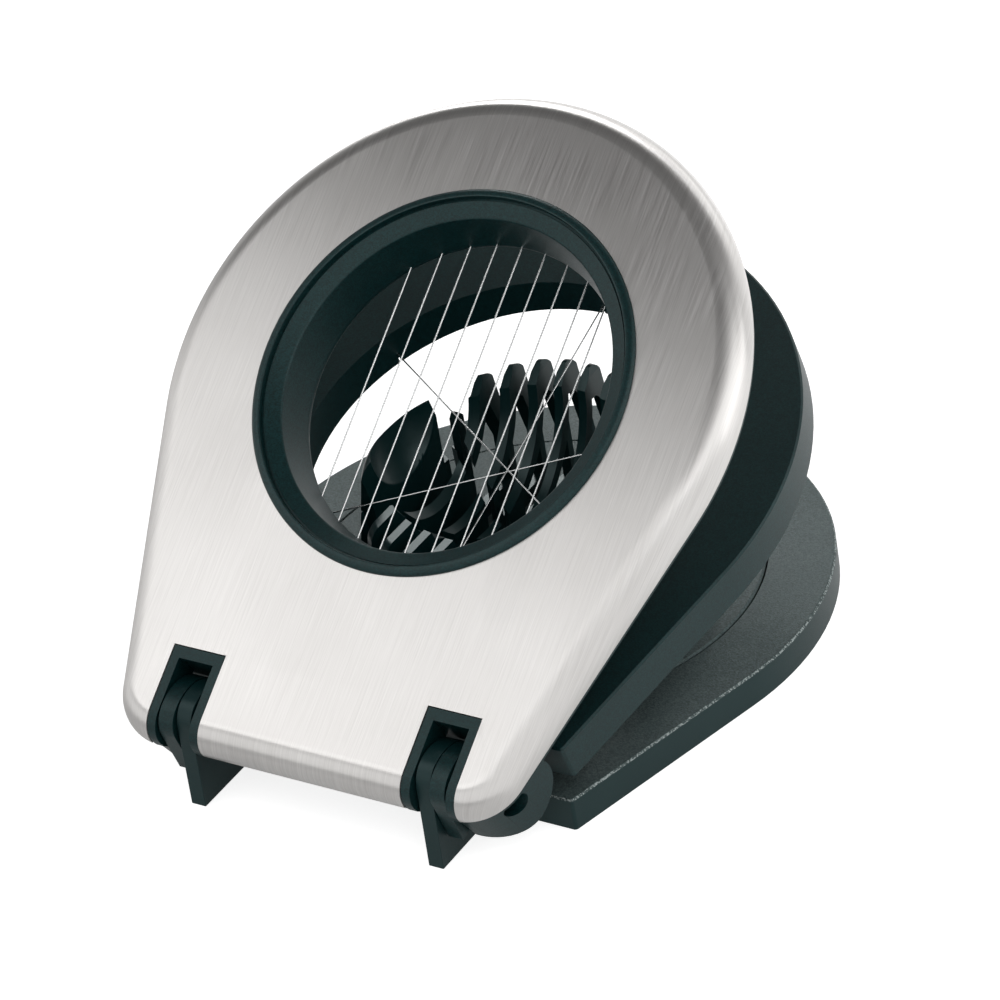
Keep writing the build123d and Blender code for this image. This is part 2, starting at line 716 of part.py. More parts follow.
def make_top_carrier():
    """Plastic frame under the steel cover, with the collar, the pin knuckles and the notch frames."""
    centre = hinge_to_centre
    low = carrier_bottom_level
    ledge_top = cover_skirt_level - carrier_cover_gap
    plate_top = low + carrier_plate_thickness
    body = extrude(cover_face(carrier_ledge_inset, low), amount=ledge_top - low)
    body += extrude(cover_face(carrier_plate_inset, low), amount=carrier_plate_thickness)
    rim = extrude(cover_face(carrier_rib_inset, plate_top - fuse), amount=carrier_rib_top - plate_top + fuse)
    rim -= extrude(cover_face(carrier_rib_inset + carrier_rib, 0), amount=reach)
    body += rim
    spoke_end = cover_radius - carrier_rib_inset - fuse
    for angle in clamp_screw_angles:
        spoke = block(collar_radius - fuse, spoke_end, -carrier_rib / 2, carrier_rib / 2, low + fuse, carrier_rib_top)
        body += Pos(0, centre, 0) * Rot(0, 0, angle) * spoke
    body += drum(collar_radius, collar_bottom_level, carrier_rib_top, centre)
    notch_zone = block(notch_inner_x, notch_outer_x, -reach, notch_back_y, low + carrier_plate_thickness, reach)
    body -= both_sides(notch_zone)
    for piece in (notch_frame(), knuckle(), inner_boss()):
        body += both_sides(piece)
    body -= drum(collar_seat_radius, collar_seat_level, reach, centre)
    body -= drum(collar_bore_radius, slice_wire_level, reach, centre)
    body -= drum(bezel_mouth_radius, -reach, reach, centre)
    circles = body.edges().filter_by(GeomType.CIRCLE)
    circles = circles.filter_by(lambda edge: abs(edge.radius - bezel_mouth_radius) < fuse)
    body = fillet(circles.sort_by(Axis.Z)[0], collar_mouth_round)
    body -= both_sides(block(window_inner_x, window_outer_x, -reach, window_back_y, -reach, reach))
    body -= both_sides(axle_bar(pin_radius + pin_press_gap, pin_inner_x - fuse, cover_radius))
    body = cut_all(body, slice_grooves())
    shaft = drum(screw_shank_radius + screw_hole_gap, collar_bottom_level - fuse, slice_wire_level + fuse)
    head_top = collar_bottom_level + screw_head_height
    recess = drum(screw_head_radius + screw_head_gap, collar_bottom_level - fuse, head_top)
    return cut_all(body, ring_of(bezel_screw_angles, bezel_screw_radius, shaft + recess, centre))


def make_bezel_ring():
    """Black ring with a raised lip over the steel and a tapering inner wall."""
    face = cover_face_level + bezel_lip_gap
    lip_top = face + bezel_lip_height
    lip_in = bezel_lip_radius - bezel_bead_width
    seat = collar_seat_radius - bezel_side_gap
    bore = collar_bore_radius - bezel_side_gap
    band = cover_face_level - bezel_band_drop
    shelf = collar_seat_level + bezel_shelf_thickness
    crown = bezel_lip_radius - bezel_flank_width
    slant = math.sin(math.pi / 4)
    groove = face - bezel_groove_depth
    groove_in = lip_in - bezel_groove_width
    outline = Curve() + [
        ThreePointArc((bezel_lip_radius, face), (crown + bezel_flank_width * slant, face + bezel_lip_height * slant),
                      (crown, lip_top)),
        Line((crown, lip_top), (lip_in, lip_top)),
        Line((lip_in, lip_top), (lip_in, groove)),
        Line((lip_in, groove), (groove_in, groove)),
        Line((groove_in, groove), (groove_in, face - bezel_band_step)),
        Line((groove_in, face - bezel_band_step), (bezel_band_inner_radius, band)),
        Line((bezel_band_inner_radius, band), (bezel_mouth_radius, bezel_bottom_level)),
        Line((bezel_mouth_radius, bezel_bottom_level), (bore, bezel_bottom_level)),
        Line((bore, bezel_bottom_level), (bore, shelf)),
        Line((bore, shelf), (cover_hole_radius - bezel_side_gap, shelf)),
        Line((cover_hole_radius - bezel_side_gap, shelf), (cover_hole_radius - bezel_side_gap, face)),
        Line((cover_hole_radius - bezel_side_gap, face), (bezel_lip_radius, face)),
    ]
    ring = Pos(0, hinge_to_centre, 0) * revolve(Plane.XZ * make_face(outline), axis=Axis.Z)
    ring = cut_all(ring, slice_grooves())
    pilot_top = collar_bottom_level + screw_head_height + bezel_screw_length + screw_tip_room
    pilot = drum(screw_shank_radius + screw_hole_gap, bezel_bottom_level - fuse, pilot_top)
    return cut_all(ring, ring_of(bezel_screw_angles, bezel_screw_radius, pilot, hinge_to_centre))


def make_bezel_screws():
    """Screws that pull the bezel ring down onto the carrier from below."""
    item = screw(collar_bottom_level, screw_head_height, bezel_screw_length)
    return Compound(children=ring_of(bezel_screw_angles, bezel_screw_radius, item, hinge_to_centre))


def make_hinge_pin():
    """Right-hand steel hinge pin."""
    return axle_bar(pin_radius, pin_inner_x, pin_outer_x)


def save(name, piece):
    """Writes one sub-part."""
    export_step(piece, os.path.join("parts", name + ".step"))


def main():
    os.makedirs("parts", exist_ok=True)
    save("base_plate", make_base_plate())
    save("egg_cradle", make_egg_cradle())
    save("cradle_screws", make_cradle_screws())

    save("middle_frame", place(make_middle_frame(), middle_open_angle))
    save("wedge_clamp_ring", place(make_wedge_clamp_ring(), middle_open_angle))
    save("clamp_screws", place(make_clamp_screws(), middle_open_angle))
    for number, (angle, level) in enumerate(zip(wedge_wire_angles, wedge_wire_levels), start=1):
        save("wedge_wire_" + str(number), place(make_wedge_wire(angle, level), middle_open_angle))

    save("top_carrier", place(make_top_carrier(), top_open_angle))
    save("steel_cover", place(make_steel_cover(), top_open_angle))
    save("bezel_ring", place(make_bezel_ring(), top_open_angle))
    save("bezel_screws", place(make_bezel_screws(), top_open_angle))
    for number, (x, half) in enumerate(slice_wire_places(), start=1):
        wire = wire_with_beads(x, half, 90, slice_wire_level)
        save("slicing_wire_" + str(number), place(wire, top_open_angle))
    pin = make_hinge_pin()
    save("hinge_pin_right", place(pin, top_open_angle))
    save("hinge_pin_left", place(mirror(pin, about=Plane.YZ), top_open_angle))


main()
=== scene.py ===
"""Egg cutter with three hinged leaves: its looks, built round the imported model."""

import json
import math

import bmesh
import bpy
from mathutils import Matrix, Vector


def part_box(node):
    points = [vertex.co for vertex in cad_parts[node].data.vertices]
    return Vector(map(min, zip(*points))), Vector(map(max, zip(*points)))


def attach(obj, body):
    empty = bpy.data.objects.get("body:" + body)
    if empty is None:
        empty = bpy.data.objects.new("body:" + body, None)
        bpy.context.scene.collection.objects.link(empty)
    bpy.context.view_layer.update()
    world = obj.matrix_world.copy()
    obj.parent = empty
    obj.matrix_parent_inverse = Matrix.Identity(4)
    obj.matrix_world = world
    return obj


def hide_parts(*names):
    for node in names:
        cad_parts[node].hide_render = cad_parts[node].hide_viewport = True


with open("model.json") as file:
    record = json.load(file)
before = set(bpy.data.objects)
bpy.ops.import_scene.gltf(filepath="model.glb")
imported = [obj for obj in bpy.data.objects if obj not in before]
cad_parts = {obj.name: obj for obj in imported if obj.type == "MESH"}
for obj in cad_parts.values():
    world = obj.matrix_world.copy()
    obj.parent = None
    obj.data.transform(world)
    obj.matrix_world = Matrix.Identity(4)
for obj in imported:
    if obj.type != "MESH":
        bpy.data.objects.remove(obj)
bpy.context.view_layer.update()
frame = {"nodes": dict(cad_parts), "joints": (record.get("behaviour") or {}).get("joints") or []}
NODES = frame["nodes"]
MM = 0.001

# The hinge line and how far the leaves stand open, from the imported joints
MIDDLE_HINGE, TOP_HINGE = frame["joints"]
HINGE = Vector(MIDDLE_HINGE["pos_m"])
MIDDLE_OPEN = -math.radians(MIDDLE_HINGE["range_deg"][0])
TOP_OPEN = MIDDLE_OPEN - math.radians(TOP_HINGE["range_deg"][0])
TOP_LEAF = Matrix.Translation(HINGE) @ Matrix.Rotation(TOP_OPEN, 4, "X")

# Steel cover, in leaf coordinates: the hinge line is X through the origin
HOLE_CENTRE_Y = -HINGE.y
COVER_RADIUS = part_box("steel_cover")[1].x
CORNER_X = 33.7 * MM
CORNER_Y = 4.9 * MM
CORNER_RADIUS = 11.5 * MM
COVER_FACE = 9.1 * MM
COVER_SKIRT = 3.6 * MM
ROLL_RADIUS = 5.4 * MM
SHEET = 0.8 * MM
COVER_HOLE = 39.6 * MM
NOTCH_INNER_X = 22.9 * MM
NOTCH_OUTER_X = 34.9 * MM
NOTCH_BACK_Y = 12.2 * MM

# Bezel ring
LIP_RADIUS = 40.3 * MM
LIP_HEIGHT = 1.0 * MM
LIP_FLANK = 1.6 * MM
LIP_WIDTH = 1.9 * MM
LIP_GAP = 0.05 * MM
LIP_EDGE = 0.15 * MM
GROOVE_DEPTH = 0.35 * MM
GROOVE_WIDTH = 0.45 * MM
BAND_STEP = 0.1 * MM
BAND_ROUND = 0.35 * MM
BAND_INNER = 34.8 * MM
BAND_DROP = 1.6 * MM
MOUTH_RADIUS = 33.2 * MM
BEZEL_BOTTOM = -0.9 * MM
BEZEL_BORE = 37.1 * MM
BEZEL_SHELF = 6.2 * MM
BEZEL_NECK = 39.4 * MM

# Levels of the coarse grain: the base's top face, and the cradle insert up to its floor
BASE_TOP = 7.0 * MM
BASE_EDGE = 0.42 * MM
PLATE_FRONT = -62.5 * MM
CRADLE_FLOOR = 7.3 * MM
LEVEL_BLEND = 0.05 * MM

# How finely the shapes are made
CORNER_STEPS = 24
ARC_STEPS = 150
RING_STEPS = 192
ROLL_STEPS = 14
FLANK_STEPS = 12
FACE_BORDER = 0.3 * MM
SHEET_EDGE = 0.12 * MM
SAME_PLACE = 0.001 * MM
SAME_LEVEL = 0.1 * MM
FLAT_ANGLE = math.radians(0.4)
CREASE_ANGLE = math.radians(38)
MOULD_EDGE_ANGLE = math.radians(42)
SHEET_EDGE_ANGLE = math.radians(50)

# Plastic: dark green-grey, and a lighter coarse grain
PLASTIC_SHINE = 0.36
PLASTIC_TINT = (0.8, 1.0, 1.0, 1.0)
FRAME_TONES = ((0.001, 0.013, 0.014), (0.003, 0.018, 0.019))
GRAIN_TONES = ((0.036, 0.054, 0.054), (0.056, 0.076, 0.076))
# Painted highlight along the edge of the grained face: its light colour and its largest share
EDGE_HIGHLIGHT_TONE = (0.6, 0.66, 0.65, 1.0)
EDGE_HIGHLIGHT_SHARE = 0.5
GRAIN_DEPTH = 0.05 * MM
COARSE_BUMP = 0.9
COARSE_GRAINS = 3600.0
FINE_GRAINS = 4500.0

# Where the grain's slow tone and its height start and end
TONE_LOW, TONE_HIGH = 0.3, 0.7
HEIGHT_LOW, HEIGHT_HIGH = 0.3, 0.9

# Metal
SHEET_TONES = ((0.57, 0.555, 0.54), (0.74, 0.725, 0.71))
BRUSH_DEPTH = 0.02 * MM
METAL_GRAIN_DEPTH = 0.01 * MM

# Camera at the photograph's angle
CAMERA_AZIMUTH = math.radians(36.68)
CAMERA_ELEVATION = math.radians(33.03)
CAMERA_ROLL = math.radians(-9.72)
CAMERA_DISTANCE = 0.9968
CAMERA_TARGET = HINGE + Vector((8.08, 57.6, 23.28)) * MM
FOCAL_IN_FRAMES = 5.1644
SENSOR = 36.0
FAR_CLIP = 20.0

# Room light, and the glow of the table
ROOM_DIM_SIDE = (-0.3, 0.25, 0.92)
ROOM_DIM = 0.09
ROOM_BRIGHT = 1.0
TABLE_GLOW = 0.8
TABLE_BRIGHT_SIDE = (0.6, 0.8, 0.0)
TABLE_SIDE_GLOW = 0.7
TABLE_SIZE = 4.0
TABLE_DROP = 0.05 * MM


# Effects shared by several finishes

def effect(name, inputs, outputs):
    """Empty shader node group with float inputs and outputs."""
    tree = bpy.data.node_groups.new(name, "ShaderNodeTree")
    for label, value in inputs:
        socket = tree.interface.new_socket(label, in_out="INPUT", socket_type="NodeSocketFloat")
        socket.default_value = value
    for label in outputs:
        tree.interface.new_socket(label, in_out="OUTPUT", socket_type="NodeSocketFloat")
    return tree, tree.nodes.new("NodeGroupInput"), tree.nodes.new("NodeGroupOutput")


def link(tree, source, target):
    """Joins an output to an input."""
    tree.links.new(source, target)


def feed(tree, value, target):
    """Gives an input a number, or joins a socket to it."""
    if hasattr(value, "node"):
        link(tree, value, target)
    else:
        target.default_value = value


def maths(tree, operation, first, second):
    """Math node; a number or a socket on each side."""
    node = tree.nodes.new("ShaderNodeMath")
    node.operation = operation
    feed(tree, first, node.inputs[0])
    feed(tree, second, node.inputs[1])
    return node.outputs[0]


def spread(tree, source, low, high, new_low, new_high):
    """Map Range node: low to high becomes new_low to new_high, each a number or a socket."""
    node = tree.nodes.new("ShaderNodeMapRange")
    link(tree, source, node.inputs["Value"])
    for label, value in (("From Min", low), ("From Max", high), ("To Min", new_low), ("To Max", new_high)):
        feed(tree, value, node.inputs[label])
    return node.outputs["Result"]


def object_place(tree):
    """Object coordinates."""
    return tree.nodes.new("ShaderNodeTexCoord").outputs["Object"]


def towards(tree, place, side):
    """How far a place lies towards one side."""
    node = tree.nodes.new("ShaderNodeVectorMath")
    node.operation = "DOT_PRODUCT"
    link(tree, place, node.inputs[0])
    node.inputs[1].default_value = side
    return node.outputs["Value"]


def noise(tree, place, scale, detail, roughness=0.5):
    """Noise texture's value; its scale is a number or a socket."""
    node = tree.nodes.new("ShaderNodeTexNoise")
    node.inputs["Detail"].default_value = detail
    node.inputs["Roughness"].default_value = roughness
    link(tree, place, node.inputs["Vector"])
    feed(tree, scale, node.inputs["Scale"])
    return node.outputs["Fac"]


def cells(tree, place, scale, feature):
    """Voronoi texture at the scale of a socket."""
    node = tree.nodes.new("ShaderNodeTexVoronoi")
    node.feature = feature
    link(tree, place, node.inputs["Vector"])
    link(tree, scale, node.inputs["Scale"])
    return node


def make_mould_grain():
    """Spark-eroded grain of moulded plastic: its height, a slow tone, and a random value for each facet,
    which places the painted glints and the painted edge highlight.
    """
    tree, source, target = effect("mould_grain", (("Grains per metre", 2500.0), ("Pits", 0.4)),
                                  ("Height", "Tone", "Painted glint"))
    place = object_place(tree)
    grains = source.outputs["Grains per metre"]
    fine = noise(tree, place, grains, detail=3.0, roughness=0.6)
    pits = cells(tree, place, grains, "SMOOTH_F1").outputs["Distance"]
    height = maths(tree, "ADD", fine, maths(tree, "MULTIPLY", pits, source.outputs["Pits"]))
    # A random value for each facet, used for the painted glints and the painted edge highlight
    facets = tree.nodes.new("ShaderNodeSeparateColor")
    link(tree, cells(tree, place, grains, "F1").outputs["Color"], facets.inputs["Color"])
    link(tree, height, target.inputs["Height"])
    link(tree, noise(tree, place, 45.0, detail=4.0), target.inputs["Tone"])
    link(tree, facets.outputs["Red"], target.inputs["Painted glint"])
    return tree


def make_brushing():
    """Fine lines of a brushed sheet, along V of the piece's UV map."""
    tree, source, target = effect("brushing", (("Lines per metre", 9000.0), ("Line length", 60.0)),
                                  ("Height", "Cloud"))
    uv = tree.nodes.new("ShaderNodeUVMap")
    uv.uv_map = "sheet"
    split = tree.nodes.new("ShaderNodeSeparateXYZ")
    link(tree, uv.outputs["UV"], split.inputs["Vector"])
    per_metre, length = source.outputs["Lines per metre"], source.outputs["Line length"]
    heights = []
    for share, detail in ((1.0, 2.0), (0.4, 3.0)):
        across = maths(tree, "MULTIPLY", split.outputs["X"], maths(tree, "MULTIPLY", per_metre, share))
        along = maths(tree, "MULTIPLY", split.outputs["Y"], maths(tree, "DIVIDE", per_metre, length))
        join = tree.nodes.new("ShaderNodeCombineXYZ")
        link(tree, across, join.inputs["X"])
        link(tree, along, join.inputs["Y"])
        heights.append(noise(tree, join.outputs["Vector"], 1.0, detail=detail, roughness=0.65))
    mixed = maths(tree, "MULTIPLY", maths(tree, "ADD", heights[0], heights[1]), 0.5)
    link(tree, mixed, target.inputs["Height"])
    link(tree, noise(tree, uv.outputs["UV"], 28.0, detail=3.0), target.inputs["Cloud"])
    return tree


MOULD_GRAIN = make_mould_grain()
BRUSHING = make_brushing()


# Finishes

def finish(name):
    """Empty material with its shader."""
    material = bpy.data.materials.new(name)
    material.use_nodes = True
    tree = material.node_tree
    return material, tree, tree.nodes["Principled BSDF"]


def use(tree, group, **values):
    """Places a shared effect with its own values."""
    node = tree.nodes.new("ShaderNodeGroup")
    node.node_tree = group
    for label, value in values.items():
        node.inputs[label.replace("_", " ")].default_value = value
    return node


def ramp(tree, source, stops):
    """Colour Ramp node from (place, colour) stops."""
    node = tree.nodes.new("ShaderNodeValToRGB")
    ends = node.color_ramp.elements
    while len(ends) < len(stops):
        ends.new(0.5)
    for end, (place, colour) in zip(ends, stops):
        end.position = place
        end.color = (*colour, 1.0)
    link(tree, source, node.inputs["Fac"])
    return node.outputs["Color"]


def blend(tree, share, first, second):
    """Mix node for colours, whose sockets are taken by number, since its other kinds share their names."""
    node = tree.nodes.new("ShaderNodeMix")
    node.data_type = "RGBA"
    link(tree, share, node.inputs["Factor"])
    feed(tree, first, node.inputs[6])
    feed(tree, second, node.inputs[7])
    return node.outputs[2]


def bump(tree, height, shader, strength, depth):
    """Bump node between a height and the shader; its strength is a number or a socket."""
    node = tree.nodes.new("ShaderNodeBump")
    node.inputs["Distance"].default_value = depth
    feed(tree, strength, node.inputs["Strength"])
    link(tree, height, node.inputs["Height"])
    link(tree, node.outputs["Normal"], shader.inputs["Normal"])


def speckled(tree, grain, tones, painted_glint):
    """Colour that drifts between two tones, with each grain painted lighter or darker by up to a share:
    painted glints in the colour.
    """
    colour = ramp(tree, grain.outputs["Tone"], ((TONE_LOW, tones[0]), (TONE_HIGH, tones[1])))
    grains = tree.nodes.new("ShaderNodeVectorMath")
    grains.operation = "SCALE"
    link(tree, colour, grains.inputs[0])
    # Painted glints: each grain's colour is scaled up or down at random, in place of light caught by its
    # facets
    share = spread(tree, grain.outputs["Painted glint"], 0.0, 1.0, 1.0 - painted_glint, 1.0 + painted_glint)
    link(tree, share, grains.inputs["Scale"])
    return grains.outputs["Vector"]


def plastic_shine(shader):
    """The shine that all the plastic shares."""
    shader.inputs["Specular IOR Level"].default_value = PLASTIC_SHINE
    shader.inputs["Specular Tint"].default_value = PLASTIC_TINT


def plastic(name, tones, gloss, grains, pits, strength, painted_glint):
    """Dark green-grey moulded plastic with its own grain and gloss; some grains carry painted glints in
    their colour.
    """
    material, tree, shader = finish(name)
    grain = use(tree, MOULD_GRAIN, Grains_per_metre=grains, Pits=pits)
    # Base colour with painted glints on the grains
    link(tree, speckled(tree, grain, tones, painted_glint), shader.inputs["Base Color"])
    roughness = spread(tree, grain.outputs["Height"], HEIGHT_LOW, HEIGHT_HIGH, *gloss)
    link(tree, roughness, shader.inputs["Roughness"])
    bump(tree, grain.outputs["Height"], shader, strength, GRAIN_DEPTH)
    plastic_shine(shader)
    return material


def part_grained(name, low, high, edge, gloss, strength):
    """Plastic with a coarse light grain between two heights, a painted highlight in patches along its edge,
    and plain elsewhere.
    """
    material, tree, shader = finish(name)
    coarse = use(tree, MOULD_GRAIN, Grains_per_metre=COARSE_GRAINS, Pits=0.8)
    fine = use(tree, MOULD_GRAIN, Grains_per_metre=FINE_GRAINS, Pits=0.3)
    place = tree.nodes.new("ShaderNodeSeparateXYZ")
    link(tree, object_place(tree), place.inputs["Vector"])
    depth, level = place.outputs["Y"], place.outputs["Z"]

    on_plate = spread(tree, depth, PLATE_FRONT - 2 * LEVEL_BLEND, PLATE_FRONT, 0.0, 1.0)
    below_top = spread(tree, level, high, high + LEVEL_BLEND, 1.0, 0.0)
    above_side = spread(tree, level, low - LEVEL_BLEND, low, 0.0, 1.0)
    grained = maths(tree, "MULTIPLY", above_side, maths(tree, "MULTIPLY", below_top, on_plate))
    # Painted highlight: a thin band at the edge of the grained face, broken into patches by the coarse
    # grain's facets
    highlight_band = maths(tree, "MULTIPLY", spread(tree, level, low + edge, low + edge * 1.1, 1.0, 0.0), grained)
    highlight_patches = spread(tree, coarse.outputs["Painted glint"], 0.45, 0.9, 0.0, EDGE_HIGHLIGHT_SHARE)

    plain_colour = speckled(tree, fine, FRAME_TONES, 0.0)
    # Coarse grain colour with painted glints on its grains
    coarse_colour = speckled(tree, coarse, GRAIN_TONES, 0.4)
    colour = blend(tree, grained, plain_colour, coarse_colour)
    # Paints the light edge highlight into the colour
    colour = blend(tree, maths(tree, "MULTIPLY", highlight_band, highlight_patches), colour, EDGE_HIGHLIGHT_TONE)
    link(tree, colour, shader.inputs["Base Color"])
    smooth = spread(tree, fine.outputs["Height"], HEIGHT_LOW, HEIGHT_HIGH, *gloss)
    rough = spread(tree, coarse.outputs["Height"], HEIGHT_LOW, HEIGHT_HIGH, 0.34, 0.5)
    link(tree, spread(tree, grained, 0.0, 1.0, smooth, rough), shader.inputs["Roughness"])
    height = spread(tree, grained, 0.0, 1.0, fine.outputs["Height"], coarse.outputs["Height"])
    bump(tree, height, shader, spread(tree, grained, 0.0, 1.0, strength, COARSE_BUMP), GRAIN_DEPTH)
    plastic_shine(shader)
    return material


# edge is the height of the band that carries the painted highlight
BASE_PLASTIC = part_grained("base_plastic", low=BASE_TOP - BASE_EDGE, high=BASE_TOP + LEVEL_BLEND,
                            edge=BASE_EDGE * 0.8, gloss=(0.34, 0.44), strength=0.3)
CRADLE_PLASTIC = part_grained("cradle_plastic", low=0.0, high=CRADLE_FLOOR,
                              edge=0.01 * MM, gloss=(0.27, 0.33), strength=0.08)
# The last argument of each plastic is the share of its painted glints
FRAME_PLASTIC = plastic("frame_plastic", FRAME_TONES, gloss=(0.34, 0.44), grains=FINE_GRAINS, pits=0.3,
                        strength=0.3, painted_glint=0.5)
CARRIER_PLASTIC = plastic("carrier_plastic", FRAME_TONES, gloss=(0.34, 0.44), grains=FINE_GRAINS, pits=0.3,
                          strength=0.3, painted_glint=0.5)
BEZEL_PLASTIC = plastic("bezel_plastic", FRAME_TONES, gloss=(0.32, 0.44), grains=4600.0, pits=0.2,
                        strength=0.35, painted_glint=0.6)


def make_cover_steel():
    """Stainless sheet, brushed from the hinge to the far end."""
    material, tree, shader = finish("cover_steel")
    lines = use(tree, BRUSHING, Lines_per_metre=6000.0, Line_length=110.0)
    tone = maths(tree, "ADD", maths(tree, "MULTIPLY", lines.outputs["Height"], 0.75),
                 maths(tree, "MULTIPLY", lines.outputs["Cloud"], 0.25))
    colour = ramp(tree, tone, ((0.36, SHEET_TONES[0]), (0.64, SHEET_TONES[1])))
    link(tree, colour, shader.inputs["Base Color"])
    link(tree, spread(tree, lines.outputs["Height"], 0.35, 0.65, 0.3, 0.38), shader.inputs["Roughness"])
    bump(tree, lines.outputs["Height"], shader, 0.16, BRUSH_DEPTH)
    shader.inputs["Metallic"].default_value = 1.0
    shader.inputs["Anisotropic"].default_value = 0.85
    tangent = tree.nodes.new("ShaderNodeTangent")
    tangent.direction_type = "UV_MAP"
    tangent.uv_map = "sheet"
    link(tree, tangent.outputs["Tangent"], shader.inputs["Tangent"])
    return material


def bright_metal(name, dark, light, smooth, rough, grains):
    """Small metal pieces: drawn wire, turned pins and plated screws."""
    material, tree, shader = finish(name)
    grain = use(tree, MOULD_GRAIN, Grains_per_metre=grains, Pits=0.2)
    colour = ramp(tree, grain.outputs["Tone"], ((TONE_LOW, dark), (TONE_HIGH, light)))
    link(tree, colour, shader.inputs["Base Color"])
    roughness = spread(tree, grain.outputs["Height"], HEIGHT_LOW, HEIGHT_HIGH, smooth, rough)
    link(tree, roughness, shader.inputs["Roughness"])
    bump(tree, grain.outputs["Height"], shader, 0.1, METAL_GRAIN_DEPTH)
    shader.inputs["Metallic"].default_value = 1.0
    return material


COVER_STEEL = make_cover_steel()
WIRE_STEEL = bright_metal("wire_steel", dark=(0.72, 0.73, 0.73), light=(0.86, 0.87, 0.87),
                          smooth=0.16, rough=0.28, grains=6000.0)
PIN_STEEL = bright_metal("pin_steel", dark=(0.2, 0.21, 0.21), light=(0.3, 0.31, 0.31),
                         smooth=0.3, rough=0.45, grains=3000.0)
SCREW_STEEL = bright_metal("screw_steel", dark=(0.26, 0.27, 0.28), light=(0.36, 0.37, 0.38),
                           smooth=0.3, rough=0.45, grains=3000.0)


# Pieces

def add_piece(name, bm, material, body, node):
    """Turns a mesh into a smooth piece that rides on its body and stands for a node."""
    mesh = bpy.data.meshes.new(name)
    bm.to_mesh(mesh)
    bm.free()
    for face in mesh.polygons:
        face.use_smooth = True
    mesh.materials.append(material)
    piece = bpy.data.objects.new(name, mesh)
    bpy.context.scene.collection.objects.link(piece)
    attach(piece, body)
    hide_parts(node)
    return piece


def add_moulding(name, bm, material, body, node):
    """A closed piece with crisp creases."""
    bmesh.ops.recalc_face_normals(bm, faces=bm.faces)
    piece = add_piece(name, bm, material, body, node)
    piece.data.set_sharp_from_angle(angle=CREASE_ANGLE)
    even_light(piece)


def even_light(piece):
    """Large faces rule the shading, so narrow bevels don't tint them."""
    weighted = piece.modifiers.new("even_light", "WEIGHTED_NORMAL")
    weighted.keep_sharp = True
    weighted.weight = 80


def round_edges(bm, edges, width, segments, clamp):
    """Rounds edges; clamp keeps neighbouring rounds from running into each other."""
    bmesh.ops.bevel(bm, geom=edges, offset=width, offset_type="OFFSET", segments=segments, profile=0.5,
                    affect="EDGES", material=-1, clamp_overlap=clamp)


def softened(name, node, material, body, width):
    """A node's own shape, merged, with its sharp edges broken as a mould breaks them."""
    bm = bmesh.new()
    bm.from_mesh(NODES[node].data)
    bmesh.ops.remove_doubles(bm, verts=bm.verts, dist=SAME_PLACE)
    bmesh.ops.dissolve_limit(bm, angle_limit=FLAT_ANGLE, verts=bm.verts, edges=bm.edges)
    sharp = [edge for edge in bm.edges if edge.is_manifold and edge.calc_face_angle(0) > MOULD_EDGE_ANGLE]
    round_edges(bm, sharp, width, segments=2, clamp=True)
    add_moulding(name, bm, material, body, node)


def draw_teardrop(bm, level):
    """Draws the cover's outline by spinning its two corners and its big arc."""
    centre = Vector((0, HOLE_CENTRE_Y, level))
    right = Vector((CORNER_X, CORNER_Y, level))
    left = Vector((-CORNER_X, CORNER_Y, level))
    apart = (centre - right).xy
    lean = math.acos((CORNER_RADIUS - COVER_RADIUS) / apart.length)
    normal = math.atan2(apart.y, apart.x) - lean
    corner_turn = normal + math.pi / 2
    big_turn = math.pi - 2 * normal

    def spin(vert, about, angle, steps):
        done = bmesh.ops.spin(bm, geom=[vert], cent=about, axis=(0, 0, 1), angle=angle, steps=steps,
                              use_duplicate=False)
        return [item for item in done["geom_last"] if isinstance(item, bmesh.types.BMVert)][0]

    def draw_to(vert, point):
        made = bmesh.ops.extrude_vert_indiv(bm, verts=[vert])["verts"][0]
        made.co = point
        return made

    first = bmesh.ops.create_vert(bm, co=(CORNER_X, CORNER_Y - CORNER_RADIUS, level))["vert"][0]
    tip = spin(first, right, corner_turn, CORNER_STEPS)
    tip = draw_to(tip, centre + Vector((math.cos(normal), math.sin(normal), 0)) * COVER_RADIUS)
    tip = spin(tip, centre, big_turn, ARC_STEPS)
    tip = draw_to(tip, left + Vector((-math.cos(normal), math.sin(normal), 0)) * CORNER_RADIUS)
    tip = spin(tip, left, corner_turn, CORNER_STEPS)
    bmesh.ops.contextual_create(bm, geom=[tip, first])


def largest(bm):
    """The face with the largest area."""
    return max(bm.faces, key=lambda face: face.calc_area())


def cut_at(bm, point, normal):
    """Cuts every face along a plane and keeps both sides."""
    bmesh.ops.bisect_plane(bm, geom=bm.verts[:] + bm.edges[:] + bm.faces[:], plane_co=point, plane_no=normal)


def press_cover(bm):
    """The teardrop raised to its face, open below, with its edge rolled over."""
    draw_teardrop(bm, COVER_SKIRT)
    bmesh.ops.contextual_create(bm, geom=bm.edges[:])
    risen = bmesh.ops.extrude_face_region(bm, geom=bm.faces[:])["geom"]
    bmesh.ops.translate(bm, verts=[item for item in risen if isinstance(item, bmesh.types.BMVert)],
                        vec=(0, 0, COVER_FACE - COVER_SKIRT))
    floor = [face for face in bm.faces if face.calc_center_median().z < COVER_SKIRT + SAME_LEVEL]
    bmesh.ops.delete(bm, geom=floor, context="FACES_ONLY")
    rim = [edge for edge in bm.edges if all(vert.co.z > COVER_FACE - SAME_LEVEL for vert in edge.verts)]
    round_edges(bm, rim, ROLL_RADIUS, segments=ROLL_STEPS, clamp=False)


